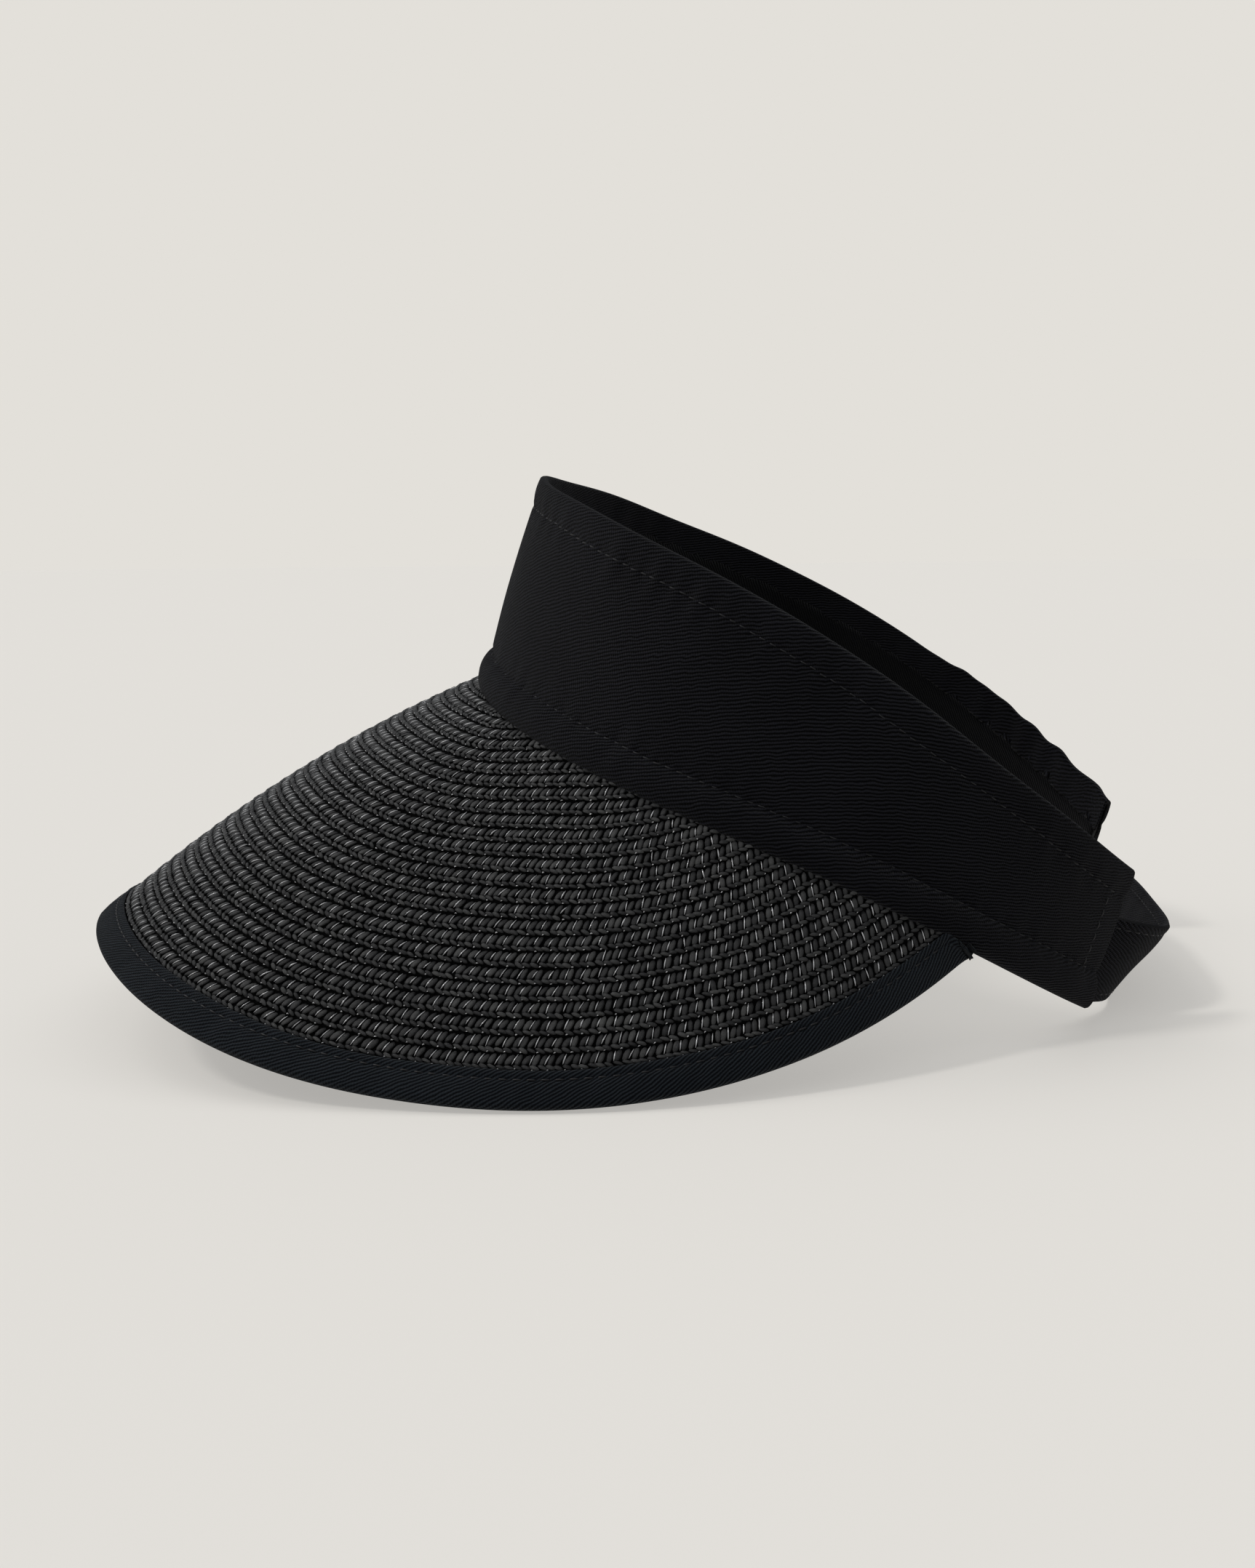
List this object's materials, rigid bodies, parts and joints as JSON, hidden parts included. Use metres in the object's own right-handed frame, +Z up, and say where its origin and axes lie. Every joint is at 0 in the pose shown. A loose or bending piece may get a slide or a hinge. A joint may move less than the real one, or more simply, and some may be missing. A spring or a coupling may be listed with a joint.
{
  "type": "sun visor",
  "caption": "Open-crown sun visor: twill band, wide drooping brim of sewn straw braid with bound edge, and a hook-and-loop strap at the back.",
  "frame": {"origin": "centre of the whole visor's footprint, on the flat surface that it stands on", "axes": "+Z up from that surface, -Y towards the front of the brim, +Y towards the closure strap, +X towards the wearer's left; the band is tipped about 23 degrees, front up, as the visor stands"},
  "size_m": [0.2636, 0.276, 0.1335],
  "materials": {
    "twill": "black cotton twill, matte, with a fine diagonal rib",
    "thread": "black polyester sewing thread, slight sheen",
    "braid": "charcoal paper-straw braid with a satin sheen and clear filament stitches",
    "binding_tape": "black twill bias tape, very slightly blue",
    "edge_boning": "round plastic boning, hidden inside the binding",
    "hook_tape": "black nylon hook tape",
    "loop_tape": "black nylon loop tape, fuzzy",
    "sweatband_cloth": "black brushed cotton sweatband",
    "elastic": "black woven elastic, hidden inside the band",
    "interlining": "white non-woven stiffener, hidden inside the band",
    "lining_cloth": "black plain cotton lining"
  },
  "bodies": {
    "crown": {"band_interlining": "interlining", "band_lining": "lining_cloth", "band_outer": "twill", "binding_topstitch": "thread", "brim_binding": "binding_tape", "brim_edge_wire": "edge_boning", "brim_row_01": "braid", "brim_row_02": "braid", "brim_row_03": "braid", "brim_row_04": "braid", "brim_row_05": "braid", "brim_row_06": "braid", "brim_row_07": "braid", "brim_row_08": "braid", "brim_row_09": "braid", "brim_row_10": "braid", "brim_row_11": "braid", "brim_row_12": "braid", "brim_row_13": "braid", "brim_row_14": "braid", "brim_row_15": "braid", "brim_row_16": "braid", "brim_row_17": "braid", "brim_row_18": "braid", "brim_row_19": "braid", "brim_row_20": "braid", "brim_row_21": "braid", "brim_row_22": "braid", "brim_row_23": "braid", "brim_row_24": "braid", "brim_row_25": "braid", "brim_row_26": "braid", "brim_row_27": "braid", "lower_hem_roll": "twill", "lower_topstitch": "thread", "sweatband": "sweatband_cloth", "upper_topstitch": "thread"},
    "left_wing": {"hook_patch": "hook_tape", "left_wing_end_topstitch": "thread", "left_wing_hem_roll": "twill", "left_wing_interlining": "interlining", "left_wing_lining": "lining_cloth", "left_wing_lower_topstitch": "thread", "left_wing_outer": "twill", "left_wing_upper_topstitch": "thread"},
    "right_wing": {"rear_elastic": "elastic", "right_wing_end_topstitch": "thread", "right_wing_hem_roll": "twill", "right_wing_lining": "lining_cloth", "right_wing_lower_topstitch": "thread", "right_wing_outer": "twill", "right_wing_upper_topstitch": "thread"},
    "strap": {"loop_patch": "loop_tape", "strap_lining": "lining_cloth", "strap_outer": "twill", "strap_topstitch": "thread"}
  },
  "joints": [
    {"name": "left_wing_hinge", "type": "hinge", "parent": "crown", "child": "left_wing", "pos_m": [0.07581, 0.0949, 0.01993], "axis": [0.1384, -0.2948, -0.9455], "range_deg": [0, 45], "stiffness_Nm_per_rad": 0.03},
    {"name": "right_wing_hinge", "type": "hinge", "parent": "crown", "child": "right_wing", "pos_m": [-0.07204, 0.09282, 0.02082], "axis": [-0.1384, -0.2948, -0.9455], "range_deg": [0, 8], "stiffness_Nm_per_rad": 0.06},
    {"name": "strap_hinge", "type": "hinge", "parent": "right_wing", "child": "strap", "pos_m": [-0.05013, 0.11332, 0.00542], "axis": [-0.0457, -0.327, -0.9439], "range_deg": [0, 75], "stiffness_Nm_per_rad": 0.02}
  ]
}
